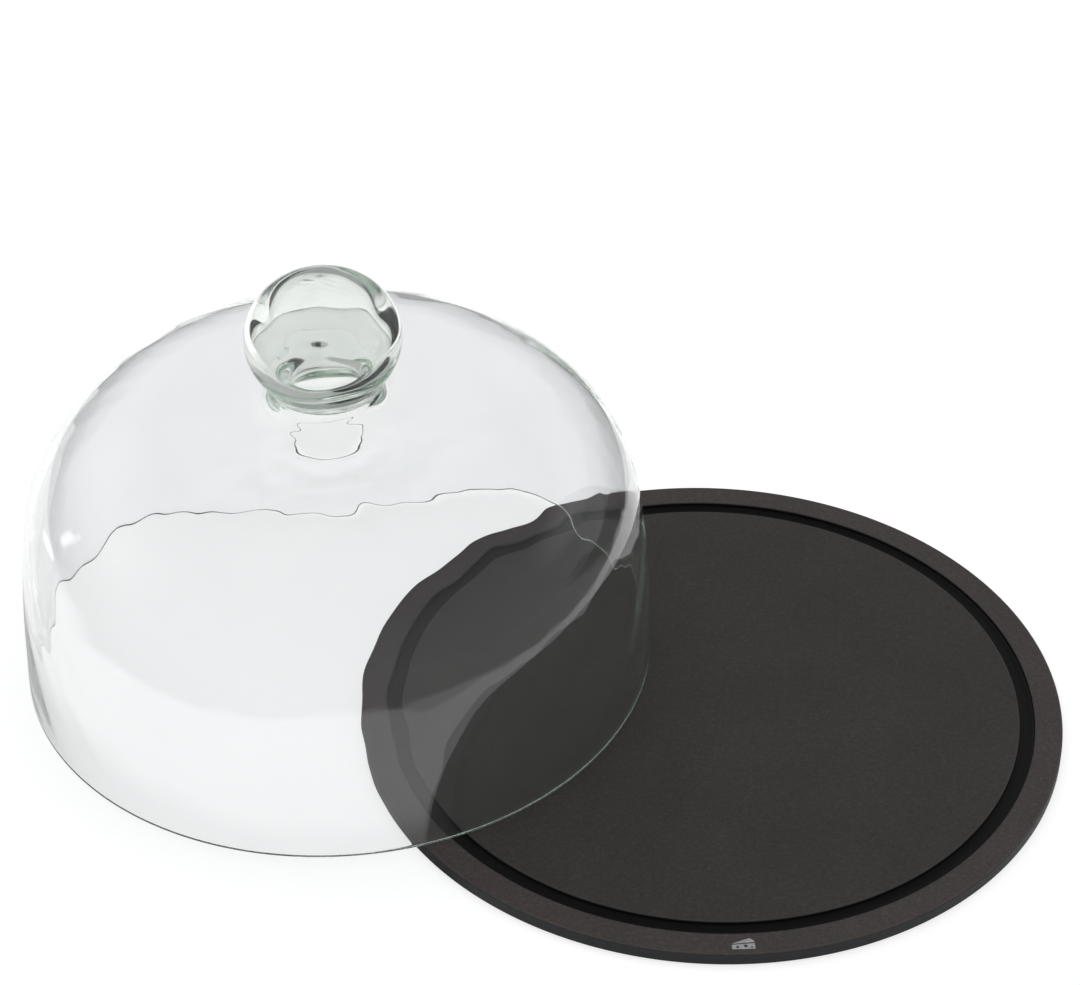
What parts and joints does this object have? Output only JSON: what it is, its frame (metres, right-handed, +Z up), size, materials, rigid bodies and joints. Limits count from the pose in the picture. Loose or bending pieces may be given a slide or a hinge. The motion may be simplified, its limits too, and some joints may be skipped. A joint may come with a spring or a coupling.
{
  "type": "cheese dome",
  "caption": "Round dark serving board with a shallow groove near its rim, and a clear blown-glass bell cover with a hollow ball knob that lifts off it.",
  "frame": {"origin": "centre of the serving board's underside, on the surface the object stands on", "axes": "+Z up; -Y is the front; the cover lies towards -X, leaning on the board's left edge; +X points from the cover to the board"},
  "size_m": [0.4491, 0.3141, 0.1965],
  "materials": {
    "board_composite": "matte",
    "clear_glass": "polished"
  },
  "bodies": {
    "board": {"serving_board": "board_composite"},
    "cover": {"glass_bell": "clear_glass", "glass_knob": "clear_glass"}
  },
  "joints": [
    {"name": "cover_lift", "type": "slide", "parent": "board", "child": "cover", "axis": [0, 0, 1], "range_m": [0, 0.22]}
  ]
}
